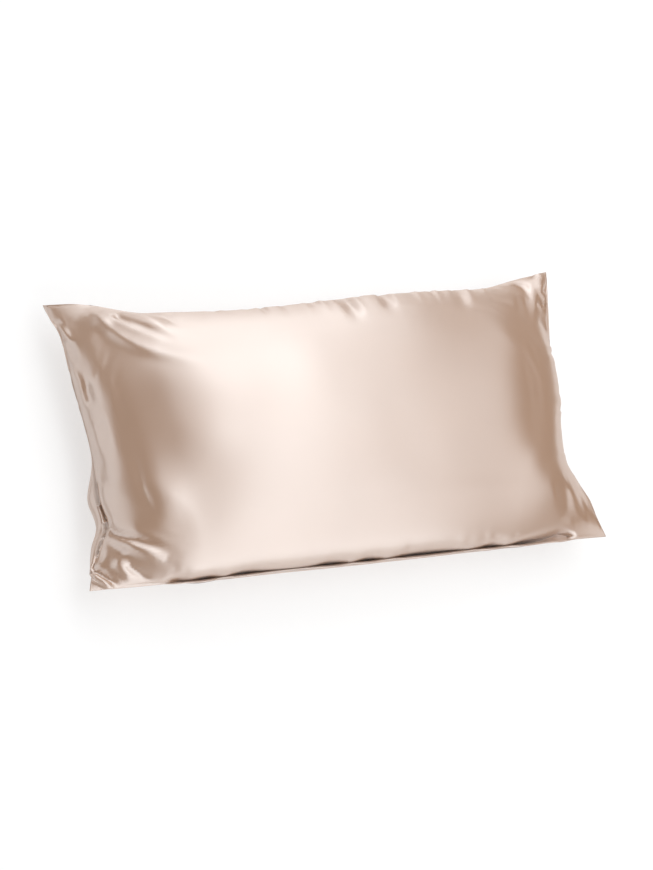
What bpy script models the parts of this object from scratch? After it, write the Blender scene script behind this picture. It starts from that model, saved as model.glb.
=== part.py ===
"""A king-size satin pillowcase with its pillow inside, lying on its back.

The case is two panels, cut flat and sewn together round all four sides. The pillow that fills it
raises a crown on the front, draws the sides in between the corners and leaves the corners as flat,
creased ears. It is one filled solid, so it is built as it is sewn: a grid for each panel, a narrow
band round their rims for the seam, and each point of the cloth goes to its place.

Frame: metres, +X along the case towards its closed right end, +Y towards its upper long side,
+Z out of the front panel. The origin is on the floor, below the middle of the case.
"""

import math

import bmesh
import bpy

# Sizes of the case. A king-size case is cut 36 by 20 inches, and the pillow draws it in.
CUT_LENGTH = 0.914
CUT_WIDTH = 0.508
FILLED_LENGTH = 0.974 * CUT_LENGTH
FILLED_WIDTH = 0.949 * CUT_WIDTH
SEAM_THICKNESS = 0.003
SEAM_LIP = 0.008
SEAM_HEIGHT = 0.066
CORNER_DROOP = 0.003

# The filling: how far the front stands above the seam, how far the back would reach below it if
# the floor didn't flatten it, and the share of that lost at the four ears.
FRONT_LOFT = 0.096
BACK_LOFT = 0.082
EAR_REACH = 0.170
EAR_FLATTENING = 0.72

# The grid of each panel, finer towards the seams than in the middle.
LENGTH_CELLS = 68
WIDTH_CELLS = 38
EDGE_CLOSENESS = 0.55
FOLD_STEPS = 8

SATIN_COLOUR = (0.62, 0.47, 0.38, 1.0)
SATIN_ROUGHNESS = 0.32
SATIN_METALLIC = 0.35

# How far each side is drawn in from the straight line between its corners, in metres, by the share
# of the way along it: left to right on the long sides, bottom to top on the short ones.
SIDES = {
    "upper": ((0.00, 0.000), (0.08, 0.010), (0.18, 0.030), (0.38, 0.037), (0.58, 0.028),
              (0.72, 0.025), (0.86, 0.023), (0.94, 0.009), (1.00, 0.000)),
    "lower": ((0.00, 0.000), (0.15, -0.002), (0.30, 0.001), (0.50, 0.001), (0.80, 0.002),
              (1.00, 0.000)),
    "left": ((0.00, 0.000), (0.06, 0.008), (0.14, 0.028), (0.21, 0.043), (0.32, 0.036),
             (0.50, 0.032), (0.72, 0.020), (0.86, 0.015), (0.94, 0.005), (1.00, 0.000)),
    "right": ((0.00, 0.000), (0.07, 0.009), (0.14, 0.016), (0.20, 0.030), (0.28, 0.041),
              (0.42, 0.040), (0.52, 0.033), (0.70, 0.025), (0.86, 0.012), (1.00, 0.000)),
}

# Where a panel bulges out past its seam: from and to are shares of the way along the side, the
# bulge is spread over the width of cloth next to the seam, and it takes the fade to come and go.
BULGES = (
    # panel, side, from, to, reach, width, fade
    ("front", "lower", 0.14, 0.92, 0.017, 0.090, 0.10),
    ("back", "lower", 0.14, 0.92, 0.012, 0.090, 0.10),
    ("front", "left", 0.14, 0.40, 0.012, 0.060, 0.06),
    ("back", "left", -0.04, 0.46, 0.042, 0.120, 0.10),
    ("front", "right", 0.28, 0.80, 0.010, 0.080, 0.10),
    ("back", "right", 0.28, 0.80, 0.010, 0.080, 0.10),
    ("front", "upper", 0.12, 0.90, 0.006, 0.080, 0.10),
    ("back", "upper", 0.12, 0.90, 0.010, 0.080, 0.10),
)
OUTWARD = {"left": (-1, 0), "right": (1, 0), "lower": (0, -1), "upper": (0, 1)}

# The folds. Each is a ridge, or a trough where its height is negative, along a bent line across the
# front. x, y: start, bend and end. "layers" says whether the back panel folds with the front, as at
# the ears, where the two lie together.
FOLDS = (
    # name, start, bend, end, half width, height, layers
    ("upper left ridge", (-0.385, 0.236), (-0.348, 0.166), (-0.235, 0.074), 0.026, 0.012, "front"),
    ("upper left valley", (-0.404, 0.218), (-0.356, 0.160), (-0.318, 0.070), 0.026, -0.008, "front"),
    ("second valley", (-0.352, 0.226), (-0.322, 0.182), (-0.262, 0.158), 0.018, -0.008, "front"),
    ("second ridge", (-0.332, 0.228), (-0.296, 0.200), (-0.220, 0.152), 0.020, 0.006, "front"),
    ("left ear ridge", (-0.442, 0.226), (-0.428, 0.190), (-0.414, 0.150), 0.018, 0.007, "both"),
    ("left ear valley", (-0.428, 0.204), (-0.384, 0.150), (-0.414, 0.080), 0.022, -0.010, "front"),
    ("left side valley", (-0.412, 0.092), (-0.400, 0.062), (-0.398, 0.030), 0.018, -0.006, "front"),
    ("tuck valley", (-0.400, -0.150), (-0.356, -0.168), (-0.290, -0.192), 0.021, -0.010, "front"),
    ("tuck ridge", (-0.394, -0.176), (-0.350, -0.200), (-0.290, -0.216), 0.020, 0.008, "front"),
    ("lower left ridge", (-0.398, -0.210), (-0.380, -0.224), (-0.350, -0.234), 0.017, 0.006, "front"),
    ("turned tip ridge", (-0.440, -0.206), (-0.424, -0.222), (-0.400, -0.238), 0.018, 0.010, "both"),
    ("upper right ridge", (0.440, 0.238), (0.428, 0.214), (0.422, 0.184), 0.018, 0.007, "both"),
    ("upper right valley", (0.430, 0.196), (0.402, 0.146), (0.410, 0.066), 0.022, -0.008, "front"),
    ("right ear valley", (0.392, 0.226), (0.388, 0.196), (0.372, 0.120), 0.026, -0.006, "front"),
    ("right side ridge", (0.404, -0.126), (0.416, -0.146), (0.430, -0.166), 0.018, 0.006, "both"),
    ("lower right valley", (0.366, -0.146), (0.368, -0.180), (0.380, -0.216), 0.026, -0.007, "front"),
    ("upper side pucker", (0.128, 0.222), (0.124, 0.196), (0.112, 0.150), 0.024, -0.005, "front"),
    ("second side pucker", (0.048, 0.220), (0.050, 0.186), (0.056, 0.140), 0.024, -0.005, "front"),
    ("third side pucker", (0.268, 0.224), (0.262, 0.196), (0.246, 0.150), 0.024, -0.004, "front"),
)


def smooth_step(value):
    value = min(max(value, 0.0), 1.0)
    return value * value * (3.0 - 2.0 * value)


def along_table(rows, share):
    """A smooth curve through a side's rows, by Hermite pieces with slopes from the neighbours."""
    last = len(rows) - 1
    index = max(i for i in range(last) if rows[i][0] <= share or i == 0)
    slopes = []
    for i in (index, index + 1):
        before, after = rows[max(i - 1, 0)], rows[min(i + 1, last)]
        slopes.append((after[1] - before[1]) / (after[0] - before[0]))
    (start, low), (end, high) = rows[index], rows[index + 1]
    span = end - start
    t = (share - start) / span
    return (
        low * (1 + 2 * t) * (1 - t) ** 2
        + high * t * t * (3 - 2 * t)
        + span * (slopes[0] * t * (1 - t) ** 2 - slopes[1] * t * t * (1 - t))
    )


def outline(across, up):
    """The place in the seam's plane of a point of the cloth, both shares from -1 to 1.

    Each side's draw-in fades in a straight line to the opposite side.
    """
    s, t = (across + 1) / 2, (up + 1) / 2
    x = across * FILLED_LENGTH / 2
    x += (1 - s) * along_table(SIDES["left"], t) - s * along_table(SIDES["right"], t)
    y = up * FILLED_WIDTH / 2
    y += (1 - t) * along_table(SIDES["lower"], s) - t * along_table(SIDES["upper"], s)
    return x, y


def edge_distances(across, up):
    """How far a point of the cloth is from each side of the case."""
    return {
        "left": (1 + across) * FILLED_LENGTH / 2,
        "right": (1 - across) * FILLED_LENGTH / 2,
        "lower": (1 + up) * FILLED_WIDTH / 2,
        "upper": (1 - up) * FILLED_WIDTH / 2,
    }


def ear_share(distances):
    """0 at a corner of the case, 1 past the reach of its ear."""
    to_end = min(distances["left"], distances["right"])
    to_side = min(distances["lower"], distances["upper"])
    return smooth_step(math.hypot(to_end, to_side) / EAR_REACH)


def filling(across, up):
    """The share of the full loft at a point of the cloth: 0 in the seam, 1 in the middle."""
    a = min(abs(across) / (1 - SEAM_LIP / (FILLED_LENGTH / 2)), 1.0)
    b = min(abs(up) / (1 - SEAM_LIP / (FILLED_WIDTH / 2)), 1.0)
    end_power = 0.62
    side_power = 0.66 if up > 0 else 0.54
    dome = (1 - a**2.4) ** end_power * (1 - b**2.1) ** side_power
    return dome * (1 - EAR_FLATTENING * (1 - ear_share(edge_distances(across, up))))


def fold_line(start, bend, end):
    """The bent line of a fold, as short straight pieces."""
    line = []
    for i in range(FOLD_STEPS + 1):
        t = i / FOLD_STEPS
        weights = ((1 - t) ** 2, 2 * t * (1 - t), t * t)
        line.append(tuple(sum(w * p[k] for w, p in zip(weights, (start, bend, end))) for k in (0, 1)))
    return line


FOLD_LINES = {row[0]: fold_line(*row[1:4]) for row in FOLDS}


def fold_height(x, y, row):
    """How much a fold lifts the cloth: a rounded section that fades out at both ends."""
    name, _, _, _, half_width, height, _ = row
    line = FOLD_LINES[name]
    nearest, where = half_width, 0.0
    for i in range(FOLD_STEPS):
        (x0, y0), (x1, y1) = line[i], line[i + 1]
        dx, dy = x1 - x0, y1 - y0
        t = ((x - x0) * dx + (y - y0) * dy) / (dx * dx + dy * dy)
        t = min(max(t, 0.0), 1.0)
        gap = math.hypot(x - x0 - t * dx, y - y0 - t * dy)
        if gap < nearest:
            nearest, where = gap, (i + t) / FOLD_STEPS
    fade = smooth_step(0.15 + where / 0.2) * smooth_step((1 - where) / 0.5)
    return height * fade * (0.5 + 0.5 * math.cos(math.pi * nearest / half_width))


def folds_of(x, y, layers):
    return sum(fold_height(x, y, row) for row in FOLDS if row[-1] == layers)


def bulge(across, up, panel):
    """How far a panel leans out past its seam, in x and y."""
    distances = edge_distances(across, up)
    dx, dy = 0.0, 0.0
    for row_panel, side, start, end, reach, width, fade in BULGES:
        if row_panel != panel:
            continue
        share, length = (across, FILLED_LENGTH) if side in ("lower", "upper") else (up, FILLED_WIDTH)
        share = (share + 1) / 2
        inward = (distances[side] - SEAM_LIP) / width
        if not start < share < end or not 0 < inward < 1:
            continue
        amount = reach * math.sin(math.pi * math.sqrt(inward))
        amount *= smooth_step((share - start) * length / fade)
        amount *= smooth_step((end - share) * length / fade)
        dx += amount * OUTWARD[side][0]
        dy += amount * OUTWARD[side][1]
    return dx, dy


def cloth_point(across, up, panel):
    """Where a point of the front or the back panel lies in the filled case."""
    x, y = outline(across, up)
    seam = SEAM_HEIGHT - CORNER_DROOP * (abs(across) * abs(up)) ** 6 + folds_of(x, y, "both")
    full = filling(across, up)
    if panel == "front":
        free = smooth_step(min(edge_distances(across, up).values()) / 0.015)
        lift = FRONT_LOFT * full + free * folds_of(x, y, "front")
        z = seam + SEAM_THICKNESS / 2 + max(lift, -SEAM_THICKNESS / 2)
    else:
        z = max(seam - SEAM_THICKNESS / 2 - BACK_LOFT * full, 0.0)
    dx, dy = bulge(across, up, panel)
    return x + dx, y + dy, z


def graded(share, cells, length):
    """Where an even grid's line goes: its outer strips are the lip, and the rest closes up outwards."""
    line = round(share * cells / 2)
    if abs(line) * 2 == cells:
        return share
    even = line / (cells / 2 - 1)
    closed_up = even + EDGE_CLOSENESS * math.sin(even * math.pi) / math.pi
    return closed_up * (1 - SEAM_LIP / (length / 2))


def add_panel(mesh, panel):
    """A flat panel of cloth, shaped. Returns the edges of its rim."""
    made = bmesh.ops.create_grid(mesh, x_segments=LENGTH_CELLS, y_segments=WIDTH_CELLS, size=1.0)
    points = set(made["verts"])
    faces = {face for point in points for face in point.link_faces}
    rim = [edge for edge in {e for f in faces for e in f.edges} if edge.is_boundary]
    for point in points:
        across = graded(point.co.x, LENGTH_CELLS, FILLED_LENGTH)
        up = graded(point.co.y, WIDTH_CELLS, FILLED_WIDTH)
        point.co = cloth_point(across, up, panel)
    if panel == "back":
        bmesh.ops.reverse_faces(mesh, faces=list(faces))
    return rim


def satin():
    material = bpy.data.materials.new("satin")
    material.use_nodes = True
    shader = material.node_tree.nodes["Principled BSDF"]
    shader.inputs["Base Color"].default_value = SATIN_COLOUR
    shader.inputs["Roughness"].default_value = SATIN_ROUGHNESS
    shader.inputs["Metallic"].default_value = SATIN_METALLIC
    material.diffuse_color = SATIN_COLOUR
    return material


def build_pillowcase(collection):
    mesh = bmesh.new()
    rims = add_panel(mesh, "front") + add_panel(mesh, "back")
    bmesh.ops.bridge_loops(mesh, edges=rims)
    bmesh.ops.recalc_face_normals(mesh, faces=mesh.faces)
    ends = [point.co.y for point in mesh.verts]
    middle = (min(ends) + max(ends)) / 2
    bmesh.ops.translate(mesh, verts=mesh.verts, vec=(0.0, -middle, 0.0))
    data = bpy.data.meshes.new("pillowcase")
    mesh.to_mesh(data)
    mesh.free()
    data.materials.append(satin())
    data.shade_smooth()
    case = bpy.data.objects.new("pillowcase", data)
    collection.objects.link(case)
    return case


def main():
    for obj in list(bpy.data.objects):
        bpy.data.objects.remove(obj)
    collection = bpy.data.collections.new("pillowcase")
    bpy.context.scene.collection.children.link(collection)
    build_pillowcase(collection)


main()
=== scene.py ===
"""A king-size satin pillowcase on its pillow: the fine cloth, its weave, the floor and the light.

The cloth is the same two panels as in the frame, on a grid of a few millimetres. They are shaped
over the pillow, then a cloth simulation lets the spare length along the seams gather in puckers.

A place on the cloth is two shares from -1 to 1, across along the case and up over its width.
Lengths are in metres, in the frame's own axes.
"""

import math

import bpy
import numpy as np
from mathutils import Matrix, Vector


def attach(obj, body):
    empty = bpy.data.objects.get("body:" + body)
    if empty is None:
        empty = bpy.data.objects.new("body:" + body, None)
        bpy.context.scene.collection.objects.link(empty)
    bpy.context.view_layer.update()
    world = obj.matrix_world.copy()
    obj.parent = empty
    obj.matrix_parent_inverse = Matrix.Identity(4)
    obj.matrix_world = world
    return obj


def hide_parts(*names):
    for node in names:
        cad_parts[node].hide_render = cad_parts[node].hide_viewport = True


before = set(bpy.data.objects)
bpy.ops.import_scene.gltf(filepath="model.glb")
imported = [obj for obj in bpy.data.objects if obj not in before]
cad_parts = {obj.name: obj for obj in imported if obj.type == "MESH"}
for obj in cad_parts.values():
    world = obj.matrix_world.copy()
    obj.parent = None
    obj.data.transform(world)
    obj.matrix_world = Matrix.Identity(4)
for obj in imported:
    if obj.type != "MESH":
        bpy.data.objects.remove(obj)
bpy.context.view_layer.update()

# The frame's sizes, but for a thinner seam with a narrower lip. The shift brings the case onto the
# frame's middle.
CUT_LENGTH = 0.914
CUT_WIDTH = 0.508
FILLED_LENGTH = 0.974 * CUT_LENGTH
FILLED_WIDTH = 0.949 * CUT_WIDTH
SEAM_THICKNESS = 0.0024
SEAM_LIP = 0.0025
SEAM_HEIGHT = 0.066
CORNER_DROOP = 0.003
CORNER_POWER = 6
MIDDLE_SHIFT = 0.001

# The filling: how far it raises the front and presses the back, the share lost at the four ears,
# and its section, whose height is (1 - share ** exponent) ** power towards each side.
FRONT_LOFT = 0.096
BACK_LOFT = 0.082
EAR_REACH = 0.170
EAR_FLATTENING = 0.72
END_EXPONENT = 2.4
SIDE_EXPONENT = 2.3
END_POWER = 0.62
UPPER_POWER = 0.66
LOWER_POWER = 0.54

# The cloth's grid: the size of a cell, the samples that even out the cells over the curved cloth,
# and the room, as a share, between the close rows of the groove and the first even row.
CELL = 0.0046
EVEN_SAMPLES = 4001
ROOM_ABOVE_GROOVE = 0.005

# How far each side is drawn in from the straight line between its corners, by the share of the way
# along it: left to right on the long sides, bottom to top on the short ones.
SIDES = {
    "upper": ((0.00, 0.000), (0.08, 0.010), (0.18, 0.030), (0.38, 0.037), (0.58, 0.028),
              (0.72, 0.025), (0.86, 0.023), (0.94, 0.009), (1.00, 0.000)),
    "lower": ((0.00, 0.000), (0.15, -0.002), (0.30, 0.001), (0.50, 0.001), (0.80, 0.002),
              (1.00, 0.000)),
    "left": ((0.00, 0.000), (0.06, 0.008), (0.14, 0.028), (0.21, 0.043), (0.32, 0.036),
             (0.50, 0.032), (0.72, 0.020), (0.86, 0.015), (0.94, 0.005), (1.00, 0.000)),
    "right": ((0.00, 0.000), (0.07, 0.009), (0.14, 0.016), (0.20, 0.030), (0.28, 0.041),
              (0.42, 0.040), (0.52, 0.033), (0.70, 0.025), (0.86, 0.012), (1.00, 0.000)),
}

# Where a panel bulges out past its seam: from and to are shares of the way along the side, the
# bulge is spread over the width of cloth next to the seam, and it takes the fade to come and go.
BULGES = (
    # panel, side, from, to, reach, width, fade
    ("front", "lower", 0.09, 0.92, 0.018, 0.090, 0.10),
    ("back", "lower", 0.14, 0.92, 0.012, 0.090, 0.10),
    ("front", "left", 0.14, 0.40, 0.012, 0.060, 0.06),
    ("back", "left", -0.04, 0.49, 0.036, 0.120, 0.10),
    ("front", "right", 0.28, 0.80, 0.010, 0.080, 0.10),
    ("back", "right", 0.28, 0.80, 0.010, 0.080, 0.10),
    ("front", "upper", 0.12, 0.90, 0.006, 0.080, 0.10),
    ("back", "upper", 0.12, 0.90, 0.010, 0.080, 0.10),
)
OUTWARD = {"left": (-1, 0), "right": (1, 0), "lower": (0, -1), "upper": (0, 1)}

# The folds. Each is a ridge, or a trough where its height is negative, along a bent line. "layers"
# says whether the back panel folds with the front, as at the tips, where the two lie together.
FOLDS = (
    # name, start, bend, end, half width, height, layers
    ("upper left ridge", (-0.378, 0.226), (-0.348, 0.113), (-0.214, 0.093), 0.019, 0.0028, "front"),
    ("upper left crest", (-0.378, 0.226), (-0.348, 0.113), (-0.214, 0.093), 0.009, 0.0016, "front"),
    ("upper left tip", (-0.500, 0.270), (-0.470, 0.250), (-0.400, 0.210), 0.055, -0.019, "both"),
    ("shoulder valley", (-0.346, 0.205), (-0.316, 0.172), (-0.252, 0.139), 0.012, -0.007, "front"),
    ("shoulder ridge", (-0.326, 0.212), (-0.298, 0.187), (-0.250, 0.158), 0.011, 0.002, "front"),
    ("second shoulder valley", (-0.306, 0.210), (-0.272, 0.184), (-0.215, 0.156), 0.011, -0.0030, "front"),
    ("left ear ridge", (-0.446, 0.222), (-0.432, 0.186), (-0.402, 0.154), 0.011, 0.004, "front"),
    ("left ear dimple", (-0.426, 0.166), (-0.412, 0.140), (-0.412, 0.110), 0.013, -0.003, "front"),
    ("left side ridge", (-0.424, 0.122), (-0.416, 0.098), (-0.406, 0.070), 0.010, 0.004, "both"),
    ("left side valley", (-0.406, 0.094), (-0.399, 0.064), (-0.398, 0.042), 0.013, -0.005, "front"),
    ("left dimple", (-0.396, 0.030), (-0.390, -0.004), (-0.390, -0.040), 0.012, -0.003, "front"),
    ("tuck valley", (-0.408, -0.140), (-0.372, -0.184), (-0.296, -0.206), 0.011, -0.006, "front"),
    ("tuck ridge", (-0.402, -0.164), (-0.372, -0.192), (-0.322, -0.214), 0.009, 0.0042, "front"),
    ("under tuck valley", (-0.398, -0.186), (-0.376, -0.206), (-0.338, -0.222), 0.012, -0.003, "front"),
    ("lower left ridge", (-0.404, -0.202), (-0.388, -0.224), (-0.370, -0.240), 0.012, 0.003, "front"),
    ("lower left valley", (-0.388, -0.208), (-0.368, -0.226), (-0.340, -0.240), 0.008, -0.004, "front"),
    ("turned tip valley", (-0.442, -0.202), (-0.424, -0.218), (-0.396, -0.242), 0.008, -0.007, "both"),
    ("turned tip ridge", (-0.440, -0.216), (-0.426, -0.230), (-0.402, -0.244), 0.009, 0.008, "both"),
    ("upper right ridge", (0.438, 0.238), (0.424, 0.218), (0.416, 0.196), 0.014, 0.004, "both"),
    ("upper right valley", (0.426, 0.190), (0.402, 0.150), (0.408, 0.080), 0.020, -0.004, "front"),
    ("right ear valley", (0.392, 0.226), (0.388, 0.196), (0.372, 0.120), 0.026, -0.006, "front"),
    ("right side ridge", (0.404, -0.126), (0.416, -0.146), (0.430, -0.166), 0.016, 0.004, "both"),
    ("lower right valley", (0.366, -0.146), (0.368, -0.180), (0.380, -0.216), 0.026, -0.004, "front"),
    ("lower right ridge", (0.350, -0.226), (0.374, -0.216), (0.400, -0.212), 0.016, 0.002, "front"),
    ("upper side pucker", (0.128, 0.222), (0.124, 0.196), (0.112, 0.150), 0.020, -0.005, "front"),
    ("second side pucker", (0.048, 0.220), (0.050, 0.186), (0.056, 0.140), 0.020, -0.005, "front"),
    ("third side pucker", (0.268, 0.224), (0.262, 0.196), (0.246, 0.150), 0.020, -0.004, "front"),
)

# A fold's line is made of straight steps. The fold starts a little way up its rise, takes a share of
# its length to rise, and fades out over another at its end.
FOLD_STEPS = 12
FOLD_HEAD_START = 0.15
FOLD_RISE = 0.2
FOLD_FADE_OUT = 0.5

# How far from the seam the front's swells, folds and puckers come to their full height.
SWELL_EDGE = 0.05
FOLD_EDGE = 0.015
PUCKER_EDGE = 0.006

# The seam's small puckers. From and to are shares of the way along the side, and the puckers fade at
# both. The seam itself takes a share of them, over its own short reach.
GATHERS = (
    # side, from, to, count, depth, reach
    ("upper", 0.28, 0.90, 19, 0.0026, 0.024),
    ("right", 0.22, 0.96, 11, 0.0024, 0.022),
    ("left", 0.04, 0.96, 11, 0.0014, 0.016),
    ("lower", 0.10, 0.96, 19, 0.0008, 0.020),
)
GATHER_FADE = 0.05
SEAM_SHARE = 0.5
SEAM_REACH = 0.012

# What keeps the puckers uneven: waves, each with its swing, its rate and where it starts. Two shift
# the puckers along the side, and one varies their depth.
GATHER_SHIFT = (0.22, 2.1)
SMALL_GATHER_SHIFT = (0.16, 5.3)
GATHER_DEPTH = 0.55
GATHER_DEPTH_WAVE = (0.45, 1.9, 0.6)

# The groove above the lower seam: its shares of the side, how its depth varies along it, and how far
# the cloth leaves the dome. The back panel follows the seam's own rise, and lets go of it soon.
GROOVE_FROM, GROOVE_TO, GROOVE_FADE = 0.13, 0.94, 0.04
GROOVE_DEPTH = 0.80
GROOVE_DEPTH_WAVE = (0.20, 29.0)
GROOVE_WAVE_SHIFT = (1.7, 11.0)
GROOVE = (
    # distance from the edge, rise, move into the case
    (0.000, 0.007, -0.006), (0.0015, 0.006, -0.005), (0.003, -0.012, -0.002), (0.0045, -0.028, 0.002),
    (0.006, -0.036, 0.006), (0.008, -0.030, 0.009), (0.011, -0.012, 0.008), (0.015, -0.001, 0.005),
    (0.026, 0.000, 0.000),
)
GROOVE_BACK_REACH = 0.004
GROOVE_ROWS = (0, 0.0012, 0.0024, 0.0036, 0.0048, 0.0060, 0.0072, 0.0086, 0.0100, 0.0120, 0.0140)

# Painted shade, a dark line in the groove's colour: its distance from the edge and its width.
PAINTED_SHADE_DISTANCE = 0.0055
PAINTED_SHADE_WIDTH = 0.003

# Where the filling pushes the front up, or leaves it low.
SWELLS = (
    # name, x, y, reach in x, reach in y, height
    ("upper left shoulder", -0.316, 0.180, 0.055, 0.045, 0.012),
    ("upper left ear", -0.388, 0.13, 0.024, 0.06, 0.003),
    ("top of the left ear", -0.362, 0.215, 0.035, 0.030, 0.010),
    ("left shoulder", -0.280, 0.08, 0.055, 0.07, 0.005),
    ("left edge of the filling", -0.362, 0.04, 0.030, 0.10, 0.0018),
    ("lower left edge of the filling", -0.340, -0.060, 0.028, 0.055, 0.0018),
    ("lower left shoulder", -0.335, -0.13, 0.048, 0.05, 0.0115),
    ("left lobe", -0.250, -0.03, 0.055, 0.045, 0.003),
    ("left of the middle", -0.225, 0.06, 0.060, 0.06, 0.003),
    ("middle", -0.060, 0.06, 0.090, 0.08, 0.003),
    ("right of the middle", 0.060, 0.01, 0.080, 0.08, 0.002),
    ("lower left corner", -0.37, -0.19, 0.06, 0.04, 0.010),
    ("below the tuck", -0.345, -0.222, 0.050, 0.030, 0.010),
    ("lower middle", -0.03, -0.18, 0.16, 0.07, -0.004),
    ("upper side", 0.12, 0.19, 0.10, 0.06, 0.006),
    ("upper right corner", 0.36, 0.19, 0.08, 0.06, 0.006),
    ("lower right corner", 0.370, -0.165, 0.070, 0.06, 0.013),
    ("right end", 0.40, -0.08, 0.05, 0.08, 0.003),
)

# The spare length along each side, as a share of it: it fades over the reach, and two waves, one
# times the other, make it uneven.
SPARE = {"upper": 0.090, "lower": 0.040, "left": 0.022, "right": 0.060}
SPARE_REACH = 0.032
SPARE_MIDDLE = 0.65
SPARE_WAVE = (0.35, 19.0, 1.3)
SPARE_BEAT = (1.0, 7.0, 0.4)

# How firmly the filling holds the cloth in the simulation: little near the seams, much further in,
# and wholly at the lower seam, so that the groove keeps its shape.
FREE_HOLD, FIRM_HOLD = 0.14, 0.85
HOLD_FROM, HOLD_FADE = 0.03, 0.08
LOWER_HOLD_REACH = 0.03

# The cloth simulation's own numbers.
SETTLE_FRAMES = 15
SETTLE_PRESSURE = 10
SETTLE = {
    "quality": 5, "mass": 0.0005, "air_damping": 3,
    "tension_stiffness": 20, "compression_stiffness": 20, "shear_stiffness": 5, "bending_stiffness": 0.3,
    "tension_damping": 5, "compression_damping": 5, "shear_damping": 5, "bending_damping": 0.5,
    "pin_stiffness": 0.03,
}

# What is kept of it: the fine part of the moves, no larger than a pucker, and a share of that away
# from the seams.
BROAD_STEPS = 40
LARGEST_PUCKER = 0.004
PUCKER_REACH, PUCKER_LEFT = 0.045, 0.25
SMALLEST_MOVE = 1e-9

# The photo's camera, solved from the case's four corners: its lens in pixels of the photo, its place
# and its axes.
PHOTO_SIZE = (653, 870)
FOCAL_PIXELS = 2200
SENSOR_WIDTH = 36
CAMERA_PLACE = (-1.228, -1.030, 3.304)
CAMERA_RIGHT = (0.938, -0.180, 0.296)
CAMERA_BACK = (-0.337, -0.280, 0.899)


def smooth_step(value):
    """0 below 0, 1 above 1, and a smooth rise between."""
    value = np.clip(value, 0.0, 1.0)
    return value * value * (3.0 - 2.0 * value)


def wave(place, swing, rate, start=0.0):
    """How far a wave has swung at a place along it."""
    return swing * np.sin(place * rate + start)


def along_table(rows, share):
    """A smooth curve through a side's rows, by Hermite pieces with slopes from the neighbours."""
    at, size = np.array(rows, float).T
    slopes = np.empty_like(size)
    slopes[1:-1] = (size[2:] - size[:-2]) / (at[2:] - at[:-2])
    slopes[0] = (size[1] - size[0]) / (at[1] - at[0])
    slopes[-1] = (size[-1] - size[-2]) / (at[-1] - at[-2])
    i = np.clip(np.searchsorted(at, share, side="right") - 1, 0, len(at) - 2)
    span = at[i + 1] - at[i]
    t = (share - at[i]) / span
    ends = size[i] * (1 + 2 * t) * (1 - t) ** 2 + size[i + 1] * t * t * (3 - 2 * t)
    return ends + span * (slopes[i] * t * (1 - t) ** 2 - slopes[i + 1] * t * t * (1 - t))


def outline(across, up):
    """The place in the seam's plane. Each side's draw-in fades in a straight line to the other side."""
    s, t = (across + 1) / 2, (up + 1) / 2
    x = across * FILLED_LENGTH / 2
    x = x + (1 - s) * along_table(SIDES["left"], t) - s * along_table(SIDES["right"], t)
    y = up * FILLED_WIDTH / 2
    y = y + (1 - t) * along_table(SIDES["lower"], s) - t * along_table(SIDES["upper"], s)
    return x, y


def edge_distances(across, up):
    """How far a point of the cloth is from each side of the case."""
    return {
        "left": (1 + across) * FILLED_LENGTH / 2,
        "right": (1 - across) * FILLED_LENGTH / 2,
        "lower": (1 + up) * FILLED_WIDTH / 2,
        "upper": (1 - up) * FILLED_WIDTH / 2,
    }


def filling(across, up):
    """The share of the full loft: 0 in the seam, 1 in the middle, and little in the ears."""
    a = np.minimum(np.abs(across) / (1 - SEAM_LIP / (FILLED_LENGTH / 2)), 1.0)
    b = np.minimum(np.abs(up) / (1 - SEAM_LIP / (FILLED_WIDTH / 2)), 1.0)
    side_power = np.where(up > 0, UPPER_POWER, LOWER_POWER)
    dome = (1 - a**END_EXPONENT) ** END_POWER * (1 - b**SIDE_EXPONENT) ** side_power
    apart = edge_distances(across, up)
    to_end = np.minimum(apart["left"], apart["right"])
    to_side = np.minimum(apart["lower"], apart["upper"])
    ear = smooth_step(np.hypot(to_end, to_side) / EAR_REACH)
    return dome * (1 - EAR_FLATTENING * (1 - ear))


def bent_line(start, bend, end):
    """The bent line of a fold, as points a step apart."""
    t = np.linspace(0, 1, FOLD_STEPS + 1)[:, None]
    return (1 - t) ** 2 * np.array(start) + 2 * t * (1 - t) * np.array(bend) + t * t * np.array(end)


def fold_height(x, y, start, bend, end, half_width, height):
    """How much a fold lifts the cloth: a rounded section that fades out at both ends."""
    line = bent_line(start, bend, end)
    nearest = np.full(x.shape, half_width)
    where = np.zeros(x.shape)
    for i, ((x0, y0), (x1, y1)) in enumerate(zip(line, line[1:])):
        dx, dy = x1 - x0, y1 - y0
        t = np.clip(((x - x0) * dx + (y - y0) * dy) / (dx * dx + dy * dy), 0, 1)
        gap = np.hypot(x - x0 - t * dx, y - y0 - t * dy)
        closer = gap < nearest
        nearest = np.where(closer, gap, nearest)
        where = np.where(closer, (i + t) / FOLD_STEPS, where)
    fade = smooth_step(FOLD_HEAD_START + where / FOLD_RISE) * smooth_step((1 - where) / FOLD_FADE_OUT)
    return height * fade * (0.5 + 0.5 * np.cos(np.pi * nearest / half_width))


def folds_of(x, y, layers):
    """How much all the folds of the front alone, or of both layers, lift the cloth."""
    return sum(fold_height(x, y, *row[1:6]) for row in FOLDS if row[-1] == layers)


def swell(x, y):
    """How much the filling lifts the front panel beyond its even dome."""
    lift = np.zeros(x.shape)
    for _, middle_x, middle_y, reach_x, reach_y, height in SWELLS:
        lift += height * np.exp(-((x - middle_x) / reach_x) ** 2 - ((y - middle_y) / reach_y) ** 2)
    return lift


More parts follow.
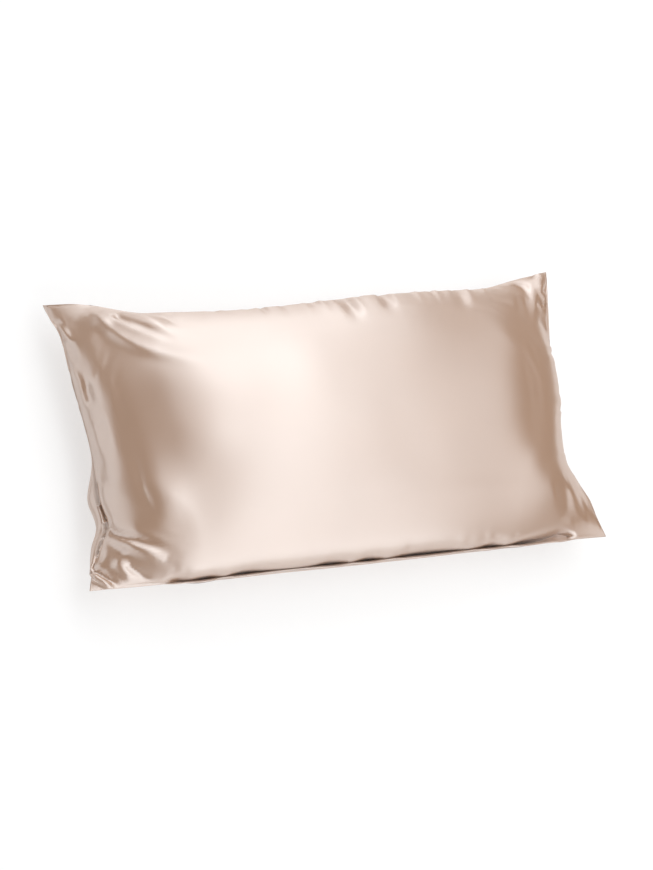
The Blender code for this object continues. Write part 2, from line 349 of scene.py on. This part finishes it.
def gathers(across, up):
    """The seam's puckers: how much they lift the seam itself, and the front panel beside it."""
    seam, front = np.zeros(across.shape), np.zeros(across.shape)
    apart = edge_distances(across, up)
    for side, start, end, count, depth, reach in GATHERS:
        share = ((across if side in ("upper", "lower") else up) + 1) / 2
        turns = count * (share - start) / (end - start)
        turns = turns + wave(turns, *GATHER_SHIFT, count) + wave(turns, *SMALL_GATHER_SHIFT)
        strength = (GATHER_DEPTH + wave(turns, *GATHER_DEPTH_WAVE)) * depth
        strength = strength * smooth_step((share - start) / GATHER_FADE)
        strength = strength * smooth_step((end - share) / GATHER_FADE)
        puckers = wave(turns, strength, 2 * np.pi)
        seam += SEAM_SHARE * puckers * np.exp(-apart[side] / SEAM_REACH)
        front += puckers * np.exp(-((apart[side] / reach) ** 2))
    return seam, front


def bulge(across, up, panel):
    """How far a panel leans out past its seam, in x and y."""
    apart = edge_distances(across, up)
    dx, dy = np.zeros(across.shape), np.zeros(across.shape)
    for row_panel, side, start, end, reach, width, fade in BULGES:
        if row_panel != panel:
            continue
        share, length = (across, FILLED_LENGTH) if side in ("lower", "upper") else (up, FILLED_WIDTH)
        share = (share + 1) / 2
        inward = np.clip((apart[side] - SEAM_LIP) / width, 0, 1)
        amount = reach * np.sin(np.pi * np.sqrt(inward))
        amount = amount * smooth_step((share - start) * length / fade)
        amount = amount * smooth_step((end - share) * length / fade)
        dx += amount * OUTWARD[side][0]
        dy += amount * OUTWARD[side][1]
    return dx, dy


def groove_amount(across):
    """How open the groove is along the lower side: it comes and goes a little."""
    share = (across + 1) / 2
    amount = smooth_step((share - GROOVE_FROM) / GROOVE_FADE)
    amount = amount * smooth_step((GROOVE_TO - share) / GROOVE_FADE)
    return amount * (GROOVE_DEPTH + wave(across, *GROOVE_DEPTH_WAVE, wave(across, *GROOVE_WAVE_SHIFT)))


def painted_groove_shade(across, up):
    """Painted shade: how far the cloth's colour is darkened where the front tucks into the groove."""
    distance = edge_distances(across, up)["lower"]
    return groove_amount(across) * np.exp(-(((distance - PAINTED_SHADE_DISTANCE) / PAINTED_SHADE_WIDTH) ** 2))


def groove(across, up, panel):
    """The rise and the inward move of the cloth along the lower seam, where the front tucks in."""
    distance = edge_distances(across, up)["lower"]
    amount = groove_amount(across)
    at, rise, inward = np.array(GROOVE).T
    if panel == "back":
        let_go = np.exp(-at / GROOVE_BACK_REACH)
        rise, inward = rise[0] * let_go, inward[0] * let_go
    return amount * np.interp(distance, at, rise), amount * np.interp(distance, at, inward)


def cloth_points(across, up, panel):
    """Where the points of the front or the back panel lie in the filled case."""
    x, y = outline(across, up)
    seam_gathers, front_gathers = gathers(across, up)
    droop = CORNER_DROOP * (np.abs(across) * np.abs(up)) ** CORNER_POWER
    seam = SEAM_HEIGHT - droop + folds_of(x, y, "both") + seam_gathers
    full = filling(across, up)
    if panel == "front":
        apart = edge_distances(across, up)
        nearest = np.minimum.reduce(list(apart.values()))
        lift = FRONT_LOFT * full + smooth_step(nearest / SWELL_EDGE) * swell(x, y)
        lift = lift + smooth_step(nearest / FOLD_EDGE) * folds_of(x, y, "front")
        lift = lift + smooth_step(nearest / PUCKER_EDGE) * front_gathers
        z = seam + SEAM_THICKNESS / 2 + np.maximum(lift, -SEAM_THICKNESS / 2)
    else:
        z = np.maximum(seam - SEAM_THICKNESS / 2 - BACK_LOFT * full, 0.0)
    dx, dy = bulge(across, up, panel)
    rise, inward = groove(across, up, panel)
    return np.stack([x + dx, y + dy + inward + MIDDLE_SHIFT, z + rise], -1)


def even_lines(cells, half, loft, powers, exponent):
    """Grid lines, -1 to 1, that lie at even steps along the curved cloth."""
    share = np.linspace(-1, 1, EVEN_SAMPLES)
    power = np.where(share > 0, powers[1], powers[0])
    height = loft * (1 - np.abs(share) ** exponent) ** power
    steps = np.hypot(np.diff(share) * half, np.diff(height))
    length = np.concatenate([[0.0], np.cumsum(steps)])
    return np.interp(np.linspace(0, length[-1], cells + 1), length, share)


def cloth_grid():
    """Both shares of every point of a panel: even over the cloth, and close together in the groove."""
    cells = round(CUT_LENGTH / CELL), round(CUT_WIDTH / CELL)
    across = even_lines(cells[0], FILLED_LENGTH / 2, FRONT_LOFT, (END_POWER,) * 2, END_EXPONENT)
    up = even_lines(cells[1], FILLED_WIDTH / 2, FRONT_LOFT, (LOWER_POWER, UPPER_POWER), SIDE_EXPONENT)
    seam_rows = np.array(GROOVE_ROWS) / (FILLED_WIDTH / 2) - 1
    up = np.concatenate([seam_rows, up[up > seam_rows[-1] + ROOM_ABOVE_GROOVE]])
    return np.meshgrid(across, up)


def cloth_faces(rows, columns):
    """The faces of both panels, and of the band that joins their rims."""
    index = np.arange(rows * columns).reshape(rows, columns)
    low, high = index[:-1], index[1:]
    top = np.stack([low[:, :-1], low[:, 1:], high[:, 1:], high[:, :-1]], -1).reshape(-1, 4)
    under = top[:, ::-1] + rows * columns
    rim = np.concatenate([index[0], index[1:, -1], index[-1, -2::-1], index[-2:0:-1, 0]])
    after = np.roll(rim, -1)
    band = np.stack([after, rim, rim + rows * columns, after + rows * columns], -1)
    return np.concatenate([top, under, band])


def lay_threads(mesh, rows, columns):
    """The flat panels' own places, as UVs, so that the weave and the gloss follow the threads."""
    flat_x = np.linspace(-0.5, 0.5, columns) * CUT_LENGTH
    flat_y = np.linspace(-0.5, 0.5, rows) * CUT_WIDTH
    flat = np.stack(np.meshgrid(flat_x, flat_y), -1).reshape(-1, 2)
    flat = np.concatenate([flat, flat])
    threads = mesh.uv_layers.new(name="threads")
    corners = np.empty(len(mesh.loops), np.int32)
    mesh.loops.foreach_get("vertex_index", corners)
    threads.uv.foreach_set("vector", flat[corners].astype(np.float32).ravel())


def build_cloth(material):
    """Both panels and the seam between them, as one closed cloth."""
    across, up = cloth_grid()
    front = cloth_points(across, up, "front").reshape(-1, 3)
    back = cloth_points(across, up, "back").reshape(-1, 3)
    mesh = bpy.data.meshes.new("pillowcase_cloth")
    mesh.from_pydata(np.concatenate([front, back]).tolist(), [], cloth_faces(*across.shape).tolist())
    # Painted shade in the groove, kept on the front's points as the tuck attribute; the back has none.
    tuck = mesh.attributes.new("tuck", "FLOAT", "POINT")
    painted_shade_amount = painted_groove_shade(across, up).ravel()
    tuck.data.foreach_set("value", np.concatenate([painted_shade_amount, 0 * painted_shade_amount]).astype(np.float32))
    lay_threads(mesh, *across.shape)
    mesh.materials.append(material)
    mesh.shade_smooth()
    cloth = bpy.data.objects.new("pillowcase_cloth", mesh)
    bpy.context.scene.collection.objects.link(cloth)
    return cloth


def lengths_from_middle(points, axis):
    """How far each point of a panel lies from the panel's middle line, along the cloth."""
    steps = np.linalg.norm(np.diff(points, axis=axis), axis=2)
    total = np.insert(np.cumsum(steps, axis=axis), 0, 0.0, axis=axis)
    return total - np.take(total, [total.shape[axis] // 2], axis=axis)


def cut_panel(points, across, up, layer):
    """A panel laid flat, a little longer along its seams than the filled case needs."""
    spare = {}
    for side, distance in edge_distances(across, up).items():
        along = across if side in ("upper", "lower") else up
        uneven = SPARE_MIDDLE + wave(along, *SPARE_WAVE) * wave(along, *SPARE_BEAT)
        spare[side] = SPARE[side] * uneven * np.exp(-((distance / SPARE_REACH) ** 2))
    x = lengths_from_middle(points, 1) * (1 + spare["upper"] + spare["lower"])
    y = lengths_from_middle(points, 0) * (1 + spare["left"] + spare["right"])
    return np.stack([x, y, np.full(x.shape, layer * SEAM_THICKNESS / 2)], -1)


def blurred(moves, steps):
    """The broad part of the moves: each point averaged with its neighbours, many times."""
    for _ in range(steps):
        padded = np.pad(moves, ((0, 0), (1, 1), (1, 1), (0, 0)), mode="edge")
        along_rows = padded[:, :-2, 1:-1] + padded[:, 2:, 1:-1]
        moves = (along_rows + padded[:, 1:-1, :-2] + padded[:, 1:-1, 2:]) / 4
    return moves


def hold_on_filling(cloth, across, up):
    """A vertex group that says how firmly each point is held, in steps of a hundredth."""
    apart = edge_distances(across, up)
    nearest = np.minimum.reduce(list(apart.values()))
    hold = FREE_HOLD + (FIRM_HOLD - FREE_HOLD) * smooth_step((nearest - HOLD_FROM) / HOLD_FADE)
    hold = np.maximum(hold, 1 - apart["lower"] / LOWER_HOLD_REACH)
    hold = np.round(np.concatenate([hold.ravel(), hold.ravel()]), 2)
    group = cloth.vertex_groups.new(name="on the filling")
    for level in np.unique(hold):
        group.add(np.nonzero(hold == level)[0].tolist(), float(level), "REPLACE")
    return group


def simulate(cloth, cut_key, group):
    """Runs the cloth simulation and gives the points it ends with. The mesh stays as it was."""
    modifier = cloth.modifiers.new("settle", "CLOTH")
    for name, value in SETTLE.items():
        setattr(modifier.settings, name, value)
    modifier.settings.vertex_group_mass = group.name
    modifier.settings.rest_shape_key = cut_key
    modifier.settings.use_pressure = True
    modifier.settings.uniform_pressure_force = SETTLE_PRESSURE
    modifier.settings.effector_weights.gravity = 0
    modifier.collision_settings.use_collision = False
    modifier.collision_settings.use_self_collision = False
    modifier.point_cache.frame_start = 1
    modifier.point_cache.frame_end = SETTLE_FRAMES
    for step in range(1, SETTLE_FRAMES + 1):
        bpy.context.scene.frame_set(step)
    settled = cloth.evaluated_get(bpy.context.evaluated_depsgraph_get()).to_mesh()
    points = np.empty(len(settled.vertices) * 3, np.float32)
    settled.vertices.foreach_get("co", points)
    cloth.modifiers.remove(modifier)
    bpy.context.scene.frame_set(1)
    return points


def settle(cloth):
    """The filling presses, and the spare length along the seams gathers in puckers."""
    across, up = cloth_grid()
    mesh = cloth.data
    drawn = np.empty(len(mesh.vertices) * 3, np.float32)
    mesh.vertices.foreach_get("co", drawn)
    drawn = drawn.reshape(2, *across.shape, 3).astype(float)
    cut = np.stack([cut_panel(drawn[0], across, up, 1), cut_panel(drawn[1], across, up, -1)])
    cloth.shape_key_add(name="drawn", from_mix=False)
    cut_key = cloth.shape_key_add(name="cut", from_mix=False)
    cut_key.data.foreach_set("co", cut.astype(np.float32).ravel())
    cut_key.value = 0
    points = simulate(cloth, cut_key, hold_on_filling(cloth, across, up))
    cloth.shape_key_clear()
    cloth.vertex_groups.clear()

    moves = points.reshape(drawn.shape) - drawn
    moves = moves - blurred(moves, BROAD_STEPS)
    size = np.linalg.norm(moves, axis=-1, keepdims=True)
    limited = LARGEST_PUCKER * np.tanh(size / LARGEST_PUCKER)
    moves = moves * limited / np.maximum(size, SMALLEST_MOVE)
    nearest = np.minimum.reduce(list(edge_distances(across, up).values()))
    kept = PUCKER_LEFT + (1 - PUCKER_LEFT) * np.exp(-((nearest / PUCKER_REACH) ** 2))
    mesh.vertices.foreach_set("co", (drawn + moves * kept[..., None]).astype(np.float32).ravel())
    mesh.update()


def node(tree, kind, at, **settings):
    """A shader node at its place in the editor. A setting is one of its inputs or its own property."""
    made = tree.nodes.new(kind)
    made.location = at
    for name, value in settings.items():
        if name in made.inputs:
            made.inputs[name].default_value = value
        else:
            setattr(made, name, value)
    return made


# The satin: a shader with a neutral gloss, two ground colours that shade into each other in clouds,
# a dark painted shade in the tuck, and the least and the greatest roughness.
SATIN = {
    "Metallic": 0.0,
    "IOR": 2.35,
    "Specular IOR Level": 1.0,
    "Anisotropic": 0.9,
    "Anisotropic Rotation": 0.25,
    "Sheen Weight": 0.04,
    "Sheen Roughness": 0.4,
}
GROUND = ((0.390, 0.218, 0.128, 1), (0.450, 0.258, 0.156, 1))
# Painted shade: the near-black brown that the groove's colour is darkened towards.
PAINTED_SHADE_COLOUR = (0.030, 0.014, 0.009, 1)
GLOSS_SPREAD = (0.35, 0.42)

# The cloth's own unevenness: dye and wear in broad clouds, slubs along the threads, and the weave.
# The UVs are in metres, so a scale is about as many spots to the metre.
CLOUDS = {"Scale": 9.0, "Detail": 3.0, "Roughness": 0.5}
SLUBS = {"Scale": 60.0, "Detail": 2.0, "Roughness": 0.6}
SLUB_STRETCH = (1.0, 26.0, 1.0)
WEAVE = {"Scale": 900.0, "Detail": 1.0, "Roughness": 0.5}
SLUB_BUMP = {"Strength": 0.35, "Distance": 0.00006}
WEAVE_BUMP = {"Strength": 0.25, "Distance": 0.00004}


def satin():
    """Champagne satin: a tan ground under long floats, so the gloss spreads over the case's width."""
    material = bpy.data.materials.new("satin")
    material.use_nodes = True
    tree = material.node_tree
    shader = tree.nodes["Principled BSDF"]
    for name, value in SATIN.items():
        shader.inputs[name].default_value = value
    link = tree.links.new
    cloth = node(tree, "ShaderNodeUVMap", (-1500, 0), uv_map="threads")
    tangent = node(tree, "ShaderNodeTangent", (-300, -500), direction_type="UV_MAP", uv_map="threads")
    link(tangent.outputs[0], shader.inputs["Tangent"])

    clouds = node(tree, "ShaderNodeTexNoise", (-1000, 200), **CLOUDS)
    link(cloth.outputs[0], clouds.inputs["Vector"])
    along = node(tree, "ShaderNodeMapping", (-1250, -100), Scale=SLUB_STRETCH)
    link(cloth.outputs[0], along.inputs["Vector"])
    slubs = node(tree, "ShaderNodeTexNoise", (-1000, -100), **SLUBS)
    link(along.outputs[0], slubs.inputs["Vector"])
    weave = node(tree, "ShaderNodeTexNoise", (-1000, -400), **WEAVE)
    link(cloth.outputs[0], weave.inputs["Vector"])

    ground = node(tree, "ShaderNodeMix", (-500, 200), data_type="RGBA")
    ground.inputs["A"].default_value, ground.inputs["B"].default_value = GROUND
    link(clouds.outputs["Fac"], ground.inputs["Factor"])
    # Painted shade: the tuck attribute darkens the ground colour in the groove.
    tuck = node(tree, "ShaderNodeAttribute", (-750, 400), attribute_name="tuck")
    painted_shade_mix = node(tree, "ShaderNodeMix", (-250, 200), data_type="RGBA")
    painted_shade_mix.inputs["B"].default_value = PAINTED_SHADE_COLOUR
    link(tuck.outputs["Fac"], painted_shade_mix.inputs["Factor"])
    link(ground.outputs["Result"], painted_shade_mix.inputs["A"])
    link(painted_shade_mix.outputs["Result"], shader.inputs["Base Color"])

    spread = node(tree, "ShaderNodeMapRange", (-500, -50))
    spread.inputs["To Min"].default_value, spread.inputs["To Max"].default_value = GLOSS_SPREAD
    link(slubs.outputs["Fac"], spread.inputs["Value"])
    link(spread.outputs[0], shader.inputs["Roughness"])

    slub_bump = node(tree, "ShaderNodeBump", (-500, -300), **SLUB_BUMP)
    link(slubs.outputs["Fac"], slub_bump.inputs["Height"])
    weave_bump = node(tree, "ShaderNodeBump", (-250, -300), **WEAVE_BUMP)
    link(weave.outputs["Fac"], weave_bump.inputs["Height"])
    link(slub_bump.outputs[0], weave_bump.inputs["Normal"])
    link(weave_bump.outputs[0], shader.inputs["Normal"])
    return material


# The studio. A light's two tilts are in degrees from straight overhead. The world is Blender's own
# dark grey and its glow is a strength, with more of it at the front and the back. The table's own
# glow keeps the shadows on it pale, and the print's gamma lifts the middle tones.
LIGHTS = (
    # name, tilt to the right, tilt back, distance, width, length, radiance
    ("key core", 10, 0, 2.80, 0.85, 3.20, 1.06),
    ("key middle", 9, 0, 2.85, 1.70, 3.40, 0.55),
    ("key box", 7, -3, 2.90, 3.00, 3.60, 0.56),
    ("behind core", 11, 55, 2.80, 0.60, 2.80, 1.55),
    ("behind box", 7, 55, 2.90, 2.40, 2.80, 1.65),
    ("front box", 8, -57, 2.85, 2.00, 2.10, 2.6),
    ("right soft", 42, 8, 2.80, 1.50, 2.60, 1.45),
    ("left fill", -66, 5, 2.80, 1.60, 4.40, 1.15),
)
STUDIO_GLOW = 0.78
FRONT_AND_BACK_GLOW = 5.0
TABLE_SIZE = 30
TABLE_COLOUR = (0.48, 0.48, 0.48, 1)
TABLE_GLOW = 0.53
PRINT_GAMMA = 1.12


def studio_light(name, right, back, distance, width, length, radiance):
    """A flat softbox that faces the case, its length along Y. Its radiance is power / (pi * area)."""
    data = bpy.data.lights.new(name, "AREA")
    data.shape = "RECTANGLE"
    data.size, data.size_y = width, length
    data.energy = radiance * math.pi * width * length
    light = bpy.data.objects.new(name, data)
    right, back = math.radians(right), math.radians(back)
    place = Vector((math.sin(right), math.cos(right) * math.sin(back), math.cos(right) * math.cos(back)))
    side = Vector((math.cos(right), -math.sin(right) * math.sin(back), -math.sin(right) * math.cos(back)))
    light.matrix_world = Matrix((side, place.cross(side), place)).transposed().to_4x4()
    light.matrix_world.translation = place * distance
    bpy.context.scene.collection.objects.link(light)


def studio_world():
    """A glow that grows with the square of a direction's y, so it is even along the case."""
    world = bpy.data.worlds.new("studio")
    bpy.context.scene.world = world
    world.use_nodes = True
    tree = world.node_tree
    sky = tree.nodes["Background"]
    place = node(tree, "ShaderNodeTexCoord", (-900, 0))
    parts = node(tree, "ShaderNodeSeparateXYZ", (-700, 0))
    square = node(tree, "ShaderNodeMath", (-500, 0), operation="MULTIPLY")
    glow = node(tree, "ShaderNodeMapRange", (-300, 0))
    glow.inputs["To Min"].default_value = STUDIO_GLOW
    glow.inputs["To Max"].default_value = STUDIO_GLOW + FRONT_AND_BACK_GLOW
    tree.links.new(place.outputs["Generated"], parts.inputs[0])
    tree.links.new(parts.outputs["Y"], square.inputs[0])
    tree.links.new(parts.outputs["Y"], square.inputs[1])
    tree.links.new(square.outputs[0], glow.inputs["Value"])
    tree.links.new(glow.outputs[0], sky.inputs["Strength"])


def studio_floor():
    """The plain pale table that the case lies on."""
    bpy.ops.mesh.primitive_plane_add(size=TABLE_SIZE, location=(0, 0, 0))
    floor = bpy.context.object
    floor.name = "floor"
    paint = bpy.data.materials.new("floor")
    paint.use_nodes = True
    shader = paint.node_tree.nodes["Principled BSDF"]
    shader.inputs["Base Color"].default_value = TABLE_COLOUR
    shader.inputs["Roughness"].default_value = 1.0
    shader.inputs["Specular IOR Level"].default_value = 0.0
    shader.inputs["Emission Color"].default_value = (1, 1, 1, 1)
    shader.inputs["Emission Strength"].default_value = TABLE_GLOW
    floor.data.materials.append(paint)


def studio():
    """The world, the lights, the table and the tones of the print."""
    studio_world()
    for row in LIGHTS:
        studio_light(*row)
    studio_floor()
    bpy.context.scene.view_settings.view_transform = "Standard"
    bpy.context.scene.view_settings.gamma = PRINT_GAMMA


def photo_camera():
    """The camera that took the photo. Its right axis is squared up to the back one."""
    data = bpy.data.cameras.new("photo camera")
    data.sensor_width = SENSOR_WIDTH
    data.lens = FOCAL_PIXELS * data.sensor_width / max(PHOTO_SIZE)
    camera = bpy.data.objects.new("photo camera", data)
    back = Vector(CAMERA_BACK).normalized()
    right = Vector(CAMERA_RIGHT)
    right = (right - back * right.dot(back)).normalized()
    camera.matrix_world = Matrix((right, back.cross(right), back)).transposed().to_4x4()
    camera.matrix_world.translation = CAMERA_PLACE
    bpy.context.scene.collection.objects.link(camera)
    bpy.context.scene.camera = camera


cloth = build_cloth(satin())
settle(cloth)
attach(cloth, "root")
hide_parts("pillowcase")
studio()
photo_camera()
